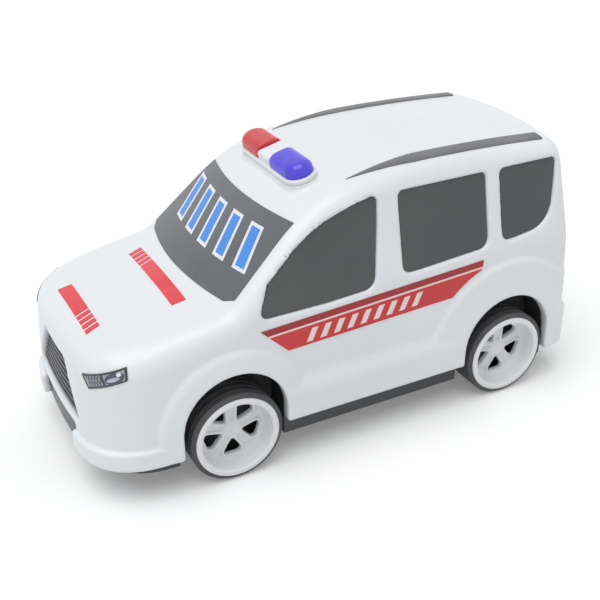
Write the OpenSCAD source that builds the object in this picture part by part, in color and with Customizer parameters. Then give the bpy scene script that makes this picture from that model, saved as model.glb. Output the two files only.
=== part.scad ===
// Toy ambulance: a thin moulded body on a black chassis, with two free-running wheelsets.
// Frame: +X towards the nose, +Y towards the car's left, +Z up, ground at Z = 0,
// with the middle of the overall length at X = 0.

/* [Running gear] */
// Distance between the two axles
wheelbase = 165; // [158:1:174]
// Front axle to the tip of the nose
front_overhang = 74.5; // [70:0.5:80]
// Rear axle to the back of the tail
rear_overhang = 49; // [45:1:55]
// Outside diameter of a tyre
tyre_d = 50; // [46:1:53]
// Width of a tyre
tyre_w = 22; // [18:1:24]
// Thickness of the tyre band around the rim
tyre_band = 2.3; // [1.6:0.1:3.2]
// Distance between the outer faces of a pair of wheels
track_w = 133; // [131:1:138]
// Depth of the dish in a rim
dish_depth = 10; // [6:0.5:12]
// Spokes in a rim
spoke_count = 5; // [4:1:6]
// Diameter of the steel axles
axle_d = 4; // [3:0.1:5]
// Running clearance between an axle and its bearing, on the radius
axle_play = 0.08; // [0.04:0.02:0.1]
// Side play between a wheel hub and its bearing
side_play = 0.8; // [0.4:0.1:1.4]

/* [Body form] */
// Width over the doors
body_w = 125; // [121:1:128]
// Height of the roof above the ground
roof_h = 146; // [140:1:152]
// Height of the belt line, where the sides start to lean in
belt_h = 90; // [86:1:93]
// Height of the foot of the windscreen
cowl_h = 92; // [88:1:94]
// Height of the lower edge of the bumpers
bumper_h = 20; // [18:0.5:22]
// Height of the lower edge of the sills
sill_h = 25; // [24.5:0.5:28]
// Lean of the cabin sides, in degrees
side_lean = 12; // [9:0.5:14]
// Slope of the windscreen from level, in degrees
screen_rake = 41.5; // [39:0.5:44]
// Slope of the bonnet, in degrees
bonnet_slope = 9.5; // [7:0.5:12]
// Wall thickness of the body
wall = 2.2; // [1.6:0.1:2.6]
// How far flares, sills and bumpers stand out from the body form
proud = 2.2; // [1.4:0.1:2.8]

/* [Openings] */
// Radius of the wheel arches
arch_r = 28; // [27:0.5:30]
// Height of the top of the wheel arches
arch_h = 61.5; // [58:0.5:64]
// Outer radius of the front wheel flares
front_flare_r = 39; // [36:0.5:42]
// Outer radius of the rear wheel flares
rear_flare_r = 49; // [45:0.5:51]
// Height from the top of the side windows up to the roof
window_drop = 13; // [12:0.5:17]
// Foot of the side windows
window_foot = 88; // [86:0.5:92]
// Height of the crease above the sills
sill_top = 48; // [44:0.5:52]

/* [Fittings] */
// Length of the light bar across the roof
light_bar_l = 76; // [66:1:84]
// Depth of the light bar along the roof
light_bar_d = 18; // [15:0.5:20]
// Height of the light bar's lenses above their base
lens_h = 9; // [7:0.5:11]
// Width of a roof rail
rail_w = 5.5; // [4:0.5:7]
// Distance between the roof rails
rail_gauge = 82; // [74:1:86]
// Thickness of a sticker
sticker_t = 0.3; // [0.2:0.05:0.5]
// Thickness of the window panels
glass_t = 1.6; // [1.2:0.1:2]
// Height of the chassis floor above the ground
clearance_h = 13; // [11:0.5:15]
// Diameter of the chassis screws
screw_d = 3; // [2.5:0.1:3.4]

/* [Hidden] */

// Places along the car
nose_x = (wheelbase + front_overhang + rear_overhang) / 2;
front_axle_x = nose_x - front_overhang;
rear_axle_x = front_axle_x - wheelbase;
axle_z = tyre_d / 2;
arch_z = arch_h - arch_r;
half_w = body_w / 2;
cowl_x = front_axle_x + 4;
roof_peak_x = rear_axle_x + 45;
window_top = roof_h - window_drop;
// Windows are drawn 45 high and the windscreen 54 high, and follow the heights in use
pane = (window_top - window_foot) / 45;
screen_part = (roof_h - cowl_h) / 54;

// Rounding and crown of the body form
nose_rake = 5;
nose_break_h = 46;
nose_bow = 5;
tail_rake = 6;
tail_break_h = 70;
tail_bow = 5;
screen_bow = 10.5;
bonnet_crown = 4;
roof_crown = 5;
roof_fall_front = 0.002;
roof_fall_rear = 0.0005;
corner_soft = 32;
edge_soft = 12;
screen_soft = 10;
roof_soft = 8;
tail_soft = 8;
belt_soft = 0.8;
break_soft = 2;
cowl_soft = 4;

// Places of the openings and fittings
front_pillar_x = cowl_x - 20;
middle_pillar_x = front_axle_x - 90;
rear_pillar_x = rear_axle_x + 10.5;
tail_pillar_x = -nose_x + 18;
ledge_h = 30.7;
tail_ledge_h = 44.3;
grille_foot = 38;
grille_top = 66;
rear_window_foot = window_foot + 10 * pane;
bar_x = cowl_x - 61 * screen_part;
bar_tilt = atan(2 * roof_fall_front * (bar_x - roof_peak_x));
seat_rise = 1;
seat_z = roof_h - roof_fall_front * pow(bar_x - roof_peak_x, 2) + seat_rise;

// Fits and small gaps
fit = 0.4;
skin_gap = 0.1;
overcut = 1;
far = 400;

// Mesh of the body form: rays leave a spine in the floor plane
spine_inset = 45;
ray_tolerance = 0.002;
ray_steps = 14;
skin_grid = [11, 26, 20];
cavity_grid = [9, 12, 12];
round_fn = 48;
hull_fn = 24;

// Smooth versions of max and min, with r the width of the blend
function soft_max(a, b, r) = max(a, b) + pow(max(r - abs(a - b), 0), 2) / (4 * r);
function soft_min(a, b, r) = -soft_max(-a, -b, r);
function bowed(y) = pow(y / half_w, 2);

// Signed gaps from a point to each face of the body form, negative inside
function side_gap(y, z) =
    soft_max(y - half_w,
             (y - half_w) * cos(side_lean) + (z - belt_h) * sin(side_lean), belt_soft);
function nose_gap(x, y, z) =
    let (ahead = x - nose_x + proud)
    soft_max(ahead, ahead * cos(nose_rake) + (z - nose_break_h) * sin(nose_rake), break_soft)
    + nose_bow * bowed(y);
function tail_gap(x, y, z) =
    let (behind = -x - nose_x + proud)
    soft_max(behind, behind * cos(tail_rake) + (z - tail_break_h) * sin(tail_rake), break_soft)
    + tail_bow * bowed(y);
function bonnet_gap(x, y, z) =
    (z - cowl_h) * cos(bonnet_slope) + max(x - cowl_x, 0) * sin(bonnet_slope)
    + bonnet_crown * bowed(y);
function screen_gap(x, y, z) =
    (x - cowl_x + screen_bow * bowed(y)) * sin(screen_rake) + (z - cowl_h) * cos(screen_rake);
function roof_gap(x, y, z) =
    let (fall = x > roof_peak_x ? roof_fall_front : roof_fall_rear)
    z - roof_h + roof_crown * bowed(y) + fall * pow(x - roof_peak_x, 2);

// The bonnet, windscreen and roof make one upper face, which the sides and ends cut off
function top_gap(x, y, z) =
    soft_min(bonnet_gap(x, y, z),
             soft_max(screen_gap(x, y, z), roof_gap(x, y, z), screen_soft), cowl_soft);
function edge_blend(x) =
    roof_soft + (edge_soft - roof_soft) * min(max((x - cowl_x) / spine_inset + 0.5, 0), 1);
function body_gap(p) =
    let (x = p[0], y = abs(p[1]), z = p[2])
    soft_max(soft_max(soft_max(side_gap(y, z), nose_gap(x, y, z), corner_soft),
                      top_gap(x, y, z), edge_blend(x)),
             tail_gap(x, y, z), tail_soft);

// Distance along a ray to the body form grown by level, by false position
function crossing(from, along, level, a, fa, b, fb, kept, steps) =
    let (t = (a * fb - b * fa) / (fb - fa),
         ft = body_gap(from + t * along) - level)
    steps == 0 || abs(ft) < ray_tolerance ? t
    : ft > 0 ? crossing(from, along, level, a, kept > 0 ? fa / 2 : fa, t, ft, 1, steps - 1)
    : crossing(from, along, level, t, ft, b, kept < 0 ? fb / 2 : fb, -1, steps - 1);
function hit(from, along, level) =
    from + along * crossing(from, along, level, 0, body_gap(from) - level,
                            far, body_gap(from + far * along) - level, 0, ray_steps);

// Rise of each row of rays, with three quarters of the rows below the edge of the roof
roof_edge_z = roof_h - roof_crown - roof_soft / 2;
roof_edge_y = half_w - (roof_edge_z - belt_h) * tan(side_lean);
function rise(j, rows) =
    let (edge = atan2(roof_edge_z - bumper_h, roof_edge_y), share = 0.75 * rows)
    j < share ? edge * j / share : edge + (90 - edge) * (j - share) / (rows - share);

// Columns of rays: a fan round the nose, the side, and a fan round the tail
function spine_x(i, grid) = (nose_x - spine_inset) * (1 - 2 * i / grid[1]);
function columns(grid) = concat(
    [for (i = [0 : grid[0] - 1]) [spine_x(0, grid), 90 * i / grid[0]]],
    [for (i = [0 : grid[1]]) [spine_x(i, grid), 90]],
    [for (i = [1 : grid[0]]) [spine_x(grid[1], grid), 90 + 90 * i / grid[0]]]);
function column_points(column, floor_z, level, rows) = [
    for (j = [0 : rows - 1])
        let (up = rise(j, rows))
        hit([column[0], 0, floor_z],
            [cos(column[1]) * cos(up), sin(column[1]) * cos(up), sin(up)], level)];

// Body form grown by level, closed flat at floor_z
module body_form(level, floor_z, grid) {
    rows = grid[2];
    cols = columns(grid);
    half = len(cols);
    loop = 2 * half - 2;
    left = [for (c = cols) column_points(c, floor_z, level, rows)];
    crest = [for (i = [0 : grid[1]]) hit([spine_x(i, grid), 0, floor_z], [0, 0, 1], level)];
    skin = [for (q = [0 : loop - 1]) for (p = left[q < half ? q : loop - q])
        q < half ? p : [p[0], -p[1], p[2]]];
    function at(q, j) = (q % loop) * rows + j;
    function top(q) =
        let (c = (q % loop) < half ? q % loop : loop - q % loop)
        loop * rows + min(max(c - grid[0], 0), grid[1]);
    sides = [for (q = [0 : loop - 1]) for (j = [0 : rows - 2]) for (f = [
        [at(q, j), at(q, j + 1), at(q + 1, j + 1)],
        [at(q, j), at(q + 1, j + 1), at(q + 1, j)]]) f];
    caps = [for (q = [0 : loop - 1]) for (f = top(q) == top(q + 1)
        ? [[at(q, rows - 1), top(q), at(q + 1, rows - 1)]]
        : [[at(q, rows - 1), top(q), top(q + 1)],
           [at(q, rows - 1), top(q + 1), at(q + 1, rows - 1)]]) f];
    floor_face = [[for (q = [0 : loop - 1]) at(q, 0)]];
    polyhedron(concat(skin, crest), concat(sides, caps, floor_face));
}

// Thin solid between two grids of points, the first grid outermost
module sheet(outer, inner) {
    rows = len(outer);
    cols = len(outer[0]);
    count = rows * cols;
    function at(i, j, face) = face * count + i * cols + j;
    function pair(a, b, c, d) = [[a, b, c], [a, c, d]];
    points = concat([for (r = outer) for (p = r) p], [for (r = inner) for (p = r) p]);
    faces = concat(
        [for (i = [0 : rows - 2]) for (j = [0 : cols - 2]) for (f = concat(
            pair(at(i, j, 0), at(i + 1, j, 0), at(i + 1, j + 1, 0), at(i, j + 1, 0)),
            pair(at(i, j, 1), at(i, j + 1, 1), at(i + 1, j + 1, 1), at(i + 1, j, 1)))) f],
        [for (i = [0 : rows - 2]) for (f = concat(
            pair(at(i, 0, 0), at(i, 0, 1), at(i + 1, 0, 1), at(i + 1, 0, 0)),
            pair(at(i, cols - 1, 0), at(i + 1, cols - 1, 0),
                 at(i + 1, cols - 1, 1), at(i, cols - 1, 1)))) f],
        [for (j = [0 : cols - 2]) for (f = concat(
            pair(at(0, j, 0), at(0, j + 1, 0), at(0, j + 1, 1), at(0, j, 1)),
            pair(at(rows - 1, j, 0), at(rows - 1, j, 1),
                 at(rows - 1, j + 1, 1), at(rows - 1, j + 1, 0)))) f]);
    polyhedron(points, faces);
}

// Panel of even thickness behind a grid of points
module panel(outer, push) {
    sheet(outer, [for (r = outer) [for (p = r) p + push]]);
}

// Nets for the panels behind the side windows, the rear window and the grille mouth
panel_margin = 2;
glass_x = [front_pillar_x + 1, tail_pillar_x - 2];
glass_foot = window_foot - 6;
glass_slope = 27 * pane / (front_pillar_x - middle_pillar_x - 37);
glass_nose_slope = 1.05 * pane;
glass_grid = [18, 3];
tail_half = [48, 42];
tail_z = [rear_window_foot - 5, window_top + panel_margin];
tail_grid = [12, 4];
grille_half = 36;
grille_z = [grille_foot - 3, grille_top + 3];
grille_grid = [10, 4];
panel_room = fit + glass_t + 2;
seat_level = fit / 2 - wall;
function glass_top(x) =
    min(window_top + panel_margin,
        window_foot + 20.5 * pane + (front_pillar_x - 9 - x) * glass_slope,
        window_foot + 8 * pane + (glass_x[0] - x) * glass_nose_slope);
function between(ends, t) = ends[0] + t * (ends[1] - ends[0]);
function glass_points(level, grow) = [
    for (i = [0 : glass_grid[1]]) [
        for (j = [0 : glass_grid[0]])
            let (x = between(glass_x + [grow, -grow], j / glass_grid[0]))
            hit([x, 0, between([glass_foot - grow, glass_top(x) + grow], i / glass_grid[1])],
                [0, 1, 0], level)]];
function tail_points(level, grow) = [
    for (i = [0 : tail_grid[1]]) [
        for (j = [0 : tail_grid[0]])
            hit([0, (between(tail_half, i / tail_grid[1]) + grow) * (1 - 2 * j / tail_grid[0]),
                 between(tail_z + [-grow, grow], i / tail_grid[1])], [-1, 0, 0], level)]];
function grille_points(level, grow) = [
    for (i = [0 : grille_grid[1]]) [
        for (j = [0 : grille_grid[0]])
            hit([0, (grille_half + grow) * (2 * j / grille_grid[0] - 1),
                 between(grille_z + [-grow, grow], i / grille_grid[1])], [1, 0, 0], level)]];

// Nets for the windscreen sticker and for a bar across the bonnet
screen_foot = 1.5;
screen_reach = 52 * screen_part;
screen_half = [53, 47.5];
screen_cut = 6;
screen_grid = [8, 12];
screen_rows = concat([0, 0.06], [for (i = [1 : screen_grid[0]]) 0.06 + 0.94 * i / screen_grid[0]]);
function screen_width(v) =
    between(screen_half, v) - (v == 0 ? screen_cut : 0);
function screen_point(u, v, level) =
    let (y = screen_width(v) * (2 * u - 1),
         s = between([screen_foot, screen_reach], v) + screen_bow * bowed(y) * cos(screen_rake),
         out = [sin(screen_rake), 0, cos(screen_rake)])
    hit([cowl_x - s * cos(screen_rake), y, cowl_h + s * sin(screen_rake)] - spine_inset * out, out, level);
function screen_points(level) = [
    for (v = screen_rows) [for (j = [0 : screen_grid[1]]) screen_point(j / screen_grid[1], v, level)]];
bonnet_bar_w = 7.5;
function bonnet_points(x, y0, y1, count, level) = [
    for (i = [0 : count]) [
        for (side = [-1, 0, 1])
            hit([x + side * bonnet_bar_w / 2, between([y0, y1], i / count), belt_h / 2], [0, 0, 1], level)]];
module bonnet_bar(x, y0, y1, count, low, high) {
    sheet(bonnet_points(x, y0, y1, count, high), bonnet_points(x, y0, y1, count, low));
}
bonnet_front_x = cowl_x + 52;
bonnet_rear_x = cowl_x + 10;
bonnet_reach = 34;

// Outlines of the side windows in side view, as corners of [x, z, radius]
front_window = [
    [front_pillar_x - 4.5, window_foot + 1.5 * pane, 4 * pane],
    [front_pillar_x - 8.5, window_foot + 11.6 * pane, 3.5 * pane],
    [front_pillar_x - 22.5, window_foot + 24.6 * pane, 3 * pane],
    [front_pillar_x - 31.5, window_foot + 30.9 * pane, 3 * pane],
    [front_pillar_x - 40, window_foot + 35.2 * pane, 3 * pane],
    [front_pillar_x - 48.5, window_foot + 38 * pane, 3 * pane],
    [middle_pillar_x + 8.4, window_foot + 42 * pane, 3 * pane],
    [middle_pillar_x + 16.5, window_foot + 5.8 * pane, 7 * pane]
];
middle_window = [
    [middle_pillar_x - 9.6, window_top - 3 * pane, 3 * pane],
    [rear_pillar_x + 7.3, window_top - 3 * pane, 3 * pane],
    [rear_pillar_x + 10.5, window_foot + 11 * pane, 6 * pane],
    [middle_pillar_x - 11.5, window_foot + 7.5 * pane, 5 * pane]
];
rear_window = [
    [rear_pillar_x - 7.2, window_top - 3 * pane, 3 * pane],
    [tail_pillar_x + 3, window_top - 3 * pane, 3 * pane],
    [tail_pillar_x + 3 + 17 * pane, window_top - 20 * pane, 17 * pane],
    [rear_pillar_x - 9, window_foot + 11 * pane, 4.5 * pane]
];
// Outlines in front view, as corners of [y, z, radius], given for one side
grille_mouth = [[15, grille_top - 3, 3], [30, grille_foot + 3, 3]];
tail_window = [[36, window_top - 5 * pane, 4 * pane], [40, rear_window_foot + 6 * pane, 6 * pane]];

module rounded(corners) {
    hull() for (c = corners) translate([c[0], c[1]]) circle(r = c[2], $fn = hull_fn);
}
module rounded_pair(corners) {
    rounded(concat(corners, [for (c = corners) [-c[0], c[1], c[2]]]));
}
// Side-view outline pushed right through the car
module across(width) {
    rotate([90, 0, 0]) linear_extrude(width, center = true) children();
}
// Front-view outline pushed along the car from x
module along(x, length) {
    translate([x, 0, 0]) rotate([90, 0, 90]) linear_extrude(length) children();
}
module on_both_sides() {
    children();
    mirror([0, 1, 0]) children();
}
module arch_outline(axle_x, r) {
    hull() {
        translate([axle_x, arch_z]) circle(r = r, $fn = round_fn);
        translate([axle_x - r, 0]) square([2 * r, overcut]);
    }
}
// Light bar frame, lying on the roof with its seat at z = 0
module on_seat() {
    translate([bar_x, 0, seat_z]) rotate([0, bar_tilt, 0]) children();
}
module bar_outline(grow) {
    end = light_bar_d / 2;
    hull() for (side = [-1, 1])
        translate([0, side * (light_bar_l / 2 - end)]) circle(r = end + grow, $fn = hull_fn);
}

// Regions where the body stands proud of its form
module flare(axle_x, r) {
    translate([axle_x, half_w - overcut, arch_z])
        rotate([-90, 0, 0])
            cylinder(h = proud + 2 * overcut, r1 = r + proud, r2 = r - 2 * proud, $fn = round_fn);
}
module sill_region() {
    along(rear_axle_x, wheelbase)
        polygon([
            [half_w - overcut, bumper_h],
            [half_w + proud + overcut, bumper_h],
            [half_w + proud + overcut, sill_top - 2 * proud],
            [half_w - overcut, sill_top + overcut]
        ]);
}
module bumper_regions() {
    translate([front_axle_x, -far / 2, 0]) cube([far, far, ledge_h]);
    translate([rear_axle_x - far, -far / 2, 0]) cube([far, far, tail_ledge_h]);
}

// Screw posts inside the body, and the pilot holes in them
post_r = 4.5;
post_foot = sill_h + 3;
post_y = 36;
front_post_x = front_axle_x + arch_r + 20;
rear_post_x = rear_axle_x - arch_r - 7;
rear_post_h = 30;
pilot_depth = 16;
pilot_play = 0.15;
web_t = 3;
post_places = [[front_post_x, post_y], [front_post_x, -post_y],
               [rear_post_x, post_y], [rear_post_x, -post_y]];
module posts() {
    intersection() {
        body_form(-wall / 2, bumper_h, cavity_grid);
        for (side = [-1, 1]) {
            translate([front_post_x, side * post_y, post_foot])
                cylinder(h = far, r = post_r, $fn = hull_fn);
            translate([rear_post_x, side * post_y, post_foot])
                cylinder(h = rear_post_h, r = post_r, $fn = hull_fn);
            translate([rear_post_x - far, side * post_y - web_t / 2, post_foot])
                cube([far, web_t, rear_post_h]);
        }
    }
}

module body_shell() {
    color("whitesmoke") difference() {
        union() {
            difference() {
                union() {
                    body_form(0, bumper_h, skin_grid);
                    intersection() {
                        body_form(proud, bumper_h, cavity_grid);
                        union() {
                            on_both_sides() {
                                flare(front_axle_x, front_flare_r);
                                flare(rear_axle_x, rear_flare_r);
                                sill_region();
                            }
                            bumper_regions();
                        }
                    }
                    on_seat() translate([0, 0, -lens_h]) linear_extrude(lens_h) bar_outline(0);
                }
                body_form(-wall, bumper_h - 3 * overcut, cavity_grid);
                on_both_sides() panel(glass_points(seat_level, skin_gap), [0, -panel_room, 0]);
                panel(tail_points(seat_level, skin_gap), [panel_room, 0, 0]);
                panel(grille_points(seat_level, skin_gap), [-panel_room, 0, 0]);
            }
            posts();
        }
        translate([rear_axle_x, -far / 2, 0]) cube([wheelbase, far, sill_h]);
        across(far) arch_outline(front_axle_x, arch_r);
        across(far) arch_outline(rear_axle_x, arch_r);
        across(far) rounded(front_window);
        across(far) rounded(middle_window);
        across(far) rounded(rear_window);
        along(nose_x - 4 * wall, far) rounded_pair(grille_mouth);
        along(-far - nose_x + spine_inset, far) rounded_pair(tail_window);
        on_seat() linear_extrude(lens_h) bar_outline(fit);
        sheet(screen_points(panel_room), screen_points(skin_gap / 2));
        bonnet_bar(bonnet_rear_x, -bonnet_reach, bonnet_reach, 8, skin_gap / 2, panel_room);
        for (p = post_places)
            translate([p[0], p[1], post_foot - overcut])
                cylinder(h = pilot_depth + overcut, d = screw_d + 2 * pilot_play, $fn = hull_fn);
    }
}

// Chassis tray, fastened under the body
chassis_wall = 2;
floor_t = 2.4;
front_corner_r = 30;
rear_corner_r = 18;
nose_setback = proud + wall + 4;
tail_setback = proud + wall + 3.6;
side_setback = wall + 2;
sled_rise = 1.5;
well_wall = 1.6;
well_r = arch_r + 1;
well_y = track_w / 2 - tyre_w - side_play;
bearing_r = 6;
bearing_l = 10;
boss_r = 4.5;
head_r = screw_d;
head_h = 2.2;
head_seat = post_foot - 8;
shank_l = 20;
module tray_outline(inset) {
    hull() for (side = [-1, 1]) {
        translate([nose_x - nose_setback - front_corner_r,
                   side * (half_w - side_setback - front_corner_r)])
            circle(r = front_corner_r - inset, $fn = round_fn);
        translate([-nose_x + tail_setback + rear_corner_r,
                   side * (half_w - side_setback - rear_corner_r)])
            circle(r = rear_corner_r - inset, $fn = round_fn);
    }
}
// Side view of the chassis, with its ends swept up
module sled_outline(lift, top) {
    polygon([
        [-far, clearance_h + sled_rise + lift],
        [-nose_x + tail_setback, clearance_h + sled_rise + lift],
        [rear_axle_x - arch_r, clearance_h + lift],
        [front_axle_x + arch_r, clearance_h + lift],
        [nose_x - nose_setback, clearance_h + sled_rise + lift],
        [far, clearance_h + sled_rise + lift],
        [far, top],
        [-far, top]
    ]);
}
module well_outline(axle_x, r) {
    translate([axle_x, arch_z]) circle(r = r, $fn = round_fn);
    translate([axle_x - r, 0]) square([2 * r, arch_z]);
}
module well_slab(axle_x, r, y, depth) {
    translate([0, y + depth, 0])
        rotate([90, 0, 0]) linear_extrude(depth) well_outline(axle_x, r);
}
module axle_bearing(axle_x) {
    translate([axle_x, well_y, axle_z])
        rotate([90, 0, 0]) cylinder(h = bearing_l, r = bearing_r, $fn = round_fn);
    translate([axle_x - bearing_r, well_y - bearing_l, clearance_h])
        cube([2 * bearing_r, bearing_l, axle_z - clearance_h]);
}
module chassis() {
    well_depth = half_w - side_setback - well_y;
    color([0.1, 0.1, 0.11]) difference() {
        union() {
            difference() {
                intersection() {
                    linear_extrude(post_foot) tray_outline(0);
                    across(far) sled_outline(0, post_foot);
                }
                intersection() {
                    linear_extrude(far) tray_outline(chassis_wall);
                    across(far) sled_outline(floor_t, far);
                }
                on_both_sides() {
                    well_slab(front_axle_x, well_r, well_y, far);
                    well_slab(rear_axle_x, well_r, well_y, far);
                }
            }
            on_both_sides() for (axle_x = [front_axle_x, rear_axle_x]) {
                difference() {
                    well_slab(axle_x, well_r + well_wall, well_y - well_wall, well_depth + well_wall);
                    well_slab(axle_x, well_r, well_y, far);
                    translate([-far, 0, 0]) cube([2 * far, far, clearance_h]);
                }
                axle_bearing(axle_x);
            }
            for (p = post_places)
                translate([p[0], p[1], clearance_h + sled_rise])
                    cylinder(h = post_foot - clearance_h - sled_rise, r = boss_r, $fn = round_fn);
        }
        for (axle_x = [front_axle_x, rear_axle_x])
            translate([axle_x, 0, axle_z])
                rotate([90, 0, 0])
                    cylinder(h = far, r = axle_d / 2 + axle_play, center = true, $fn = round_fn);
        for (p = post_places) translate([p[0], p[1], 0]) {
            cylinder(h = head_seat, r = head_r + fit, $fn = round_fn);
            cylinder(h = far, r = screw_d / 2 + fit, $fn = round_fn);
        }
    }
}
module chassis_screws() {
    color("silver") for (p = post_places) translate([p[0], p[1], head_seat]) {
        translate([0, 0, -head_h]) cylinder(h = head_h, r = head_r, $fn = round_fn);
        cylinder(h = shank_l, d = screw_d, $fn = round_fn);
    }
}

// Window panels, thin mouldings behind the openings
module window_panel() {
    color([0.16, 0.17, 0.18, 0.85]) panel(glass_points(-wall - fit, 0), [0, -glass_t, 0]);
}
module window_panel_left() {
    window_panel();
}
module window_panel_right() {
    mirror([0, 1, 0]) window_panel();
}
module rear_window_panel() {
    color([0.16, 0.17, 0.18, 0.85]) panel(tail_points(-wall - fit, 0), [glass_t, 0, 0]);
}

// Grille: a dark panel behind the mouth, with level bars
grille_bars = 8;
bar_t = 1.4;
module grille_insert() {
    pitch = (grille_top - grille_foot) / (grille_bars + 1);
    wide = grille_mouth[1][0];
    narrow = grille_mouth[0][0];
    color([0.13, 0.13, 0.14]) union() {
        panel(grille_points(-wall - fit, 0), [-glass_t, 0, 0]);
        for (k = [1 : grille_bars]) {
            z = grille_foot + k * pitch;
            half = wide + k / (grille_bars + 1) * (narrow - wide);
            x = hit([0, 0, z], [1, 0, 0], -wall - fit - 0.8 * glass_t)[0];
            hull() for (side = [-1, 1])
                translate([x, side * half, z])
                    rotate([0, 90, 0]) cylinder(h = wall + fit, d = bar_t, $fn = 4);
        }
    }
}

// Stickers
module windscreen_sticker() {
    color([0.3, 0.31, 0.34])
        sheet(screen_points(skin_gap + sticker_t), screen_points(skin_gap));
}

hatch_count = 4;
hatch_w = 3;
hatch_pitch = 4.5;
module bonnet_sticker(x, y0, y1, count) {
    bonnet_bar(x, y0, y1, count, skin_gap, skin_gap + sticker_t);
}
module bonnet_stickers() {
    color("crimson") {
        bonnet_sticker(bonnet_front_x, -22, 8, 5);
        bonnet_sticker(bonnet_rear_x, -14, 32, 6);
        for (k = [0 : hatch_count - 1]) {
            start = 9.5 + k * hatch_pitch;
            bonnet_sticker(bonnet_front_x, start, start + hatch_w, 1);
            bonnet_sticker(bonnet_rear_x, -start - hatch_w - 6, -start - 6, 1);
        }
    }
}

// Red side band: a long wedge that ends against the rear flare
band_tip = [front_pillar_x + 0.6, belt_h - 10];
band_foot = [front_pillar_x - 14, belt_h - 24.4];
band_end_x = rear_axle_x + 19;
band_rise = 7.4;
band_lift = 5;
band_arc_r = rear_flare_r + proud + 1;
band_arc = [for (k = [0 : 5]) let (a = 68 - 24 * k / 5)
    [rear_axle_x + band_arc_r * cos(a), arch_z + band_arc_r * sin(a)]];
module side_sticker() {
    translate([0, half_w + skin_gap + sticker_t, 0])
        rotate([90, 0, 0]) linear_extrude(sticker_t)
            polygon(concat([band_tip, [band_end_x, band_tip[1] + band_rise]], band_arc,
                           [[band_arc[5][0] + 6, band_foot[1] + band_lift], band_foot]));
}
module side_sticker_left() {
    color("firebrick") side_sticker();
}
module side_sticker_right() {
    color("firebrick") mirror([0, 1, 0]) side_sticker();
}

// Headlamp stickers wrap round the front corners
lamp_turn = [46, 70];
lamp_foot = [63.5, 69];
lamp_top = [68, 76];
lamp_grid = [8, 2];
function lamp_point(u, v, level) =
    let (turn = between(lamp_turn, u),
         z = between([between(lamp_foot, u), between(lamp_top, u)], v))
    hit([nose_x - spine_inset, 0, z], [cos(turn), sin(turn), 0], level);
function lamp_points(level) = [
    for (i = [0 : lamp_grid[1]]) [
        for (j = [0 : lamp_grid[0]]) lamp_point(j / lamp_grid[0], i / lamp_grid[1], level)]];
module headlamp_sticker() {
    color([0.55, 0.56, 0.6])
        sheet(lamp_points(skin_gap + sticker_t), lamp_points(skin_gap));
}
module headlamp_sticker_left() {
    headlamp_sticker();
}
module headlamp_sticker_right() {
    mirror([0, 1, 0]) headlamp_sticker();
}

// Light bar: a white base with a middle block, and a lens at each end
base_h = 3;
lens_wall = 1.4;
block_half = 8;
lens_round = 3;
lens_inset = 1.2;
module light_bar_base() {
    color("white") on_seat() {
        linear_extrude(base_h) bar_outline(0);
        translate([-light_bar_d / 2 + lens_inset, -block_half, 0])
            cube([light_bar_d - 2 * lens_inset, 2 * block_half, base_h + lens_h - lens_round / 2]);
    }
}
module lens_form(shrink) {
    end = light_bar_d / 2 - lens_inset;
    hull() {
        translate([0, light_bar_l / 2 - light_bar_d / 2, 0]) {
            cylinder(h = lens_h - lens_round, r = end - shrink, $fn = hull_fn);
            cylinder(h = lens_h - shrink, r = end - lens_round - shrink, $fn = hull_fn);
        }
        translate([0, block_half + fit + shrink, 0]) for (side = [-1, 1]) {
            translate([side * (end - shrink) - 0.5 * (side + 1) * lens_wall, 0, 0])
                cube([lens_wall, lens_wall, lens_h - lens_round]);
            translate([side * (end - lens_round - shrink) - 0.5 * (side + 1) * lens_wall, 0, 0])
                cube([lens_wall, lens_wall, lens_h - shrink]);
        }
    }
}
module lens() {
    on_seat() translate([0, 0, base_h]) difference() {
        lens_form(0);
        translate([0, 0, -overcut]) lens_form(lens_wall);
    }
}
module light_bar_red_lens() {
    color([0.85, 0.15, 0.17, 0.8]) mirror([0, 1, 0]) lens();
}
module light_bar_blue_lens() {
    color([0.25, 0.2, 0.9, 0.8]) lens();
}

// Roof rails taper to a point at the front
rail_x = [-4, -nose_x + 20];
rail_rise = 1;
rail_count = 18;
function rail_points(level) = [
    for (i = [0 : rail_count])
        let (u = i / rail_count, x = between(rail_x, u),
             half = max(rail_w / 2 * min(1, 0.04 + 3 * u), 0.1))
        [for (side = [-1, 1]) hit([x, rail_gauge / 2 + side * half, belt_h / 2], [0, 0, 1], level)]];
module roof_rail() {
    color([0.35, 0.35, 0.36])
        sheet(rail_points(skin_gap + rail_rise), rail_points(skin_gap));
}
module roof_rail_left() {
    roof_rail();
}
module roof_rail_right() {
    mirror([0, 1, 0]) roof_rail();
}

// Wheels are drawn on the axle's line with z the distance in from the outer face
rim_r = tyre_d / 2 - tyre_band;
rim_t = 2;
hub_r = 5;
face_in = 1;
tyre_edge = 1.2;
tread_w = 1.4;
tread_deep = 0.7;
back_t = 2;
lip_w = 3.2;
axle_tuck = 1;
module tyre() {
    r = tyre_d / 2;
    hub_face = dish_depth + rim_t;
    treads = [for (k = [1 : 4]) face_in + k * (tyre_w - face_in) / 5];
    color([0.09, 0.09, 0.1]) rotate_extrude($fn = round_fn)
        polygon(concat(
            [[axle_d / 2, hub_face], [hub_r, hub_face], [hub_r, tyre_w - back_t],
             [rim_r, tyre_w - back_t], [rim_r, face_in], [r - tyre_edge, face_in],
             [r, face_in + tyre_edge]],
            [for (t = treads) for (q = [[r, t - tread_w / 2], [r - tread_deep, t - tread_w / 4],
                                        [r - tread_deep, t + tread_w / 4], [r, t + tread_w / 2]]) q],
            [[r, tyre_w - tyre_edge], [r - tyre_edge, tyre_w], [axle_d / 2, tyre_w]]));
}
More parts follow.
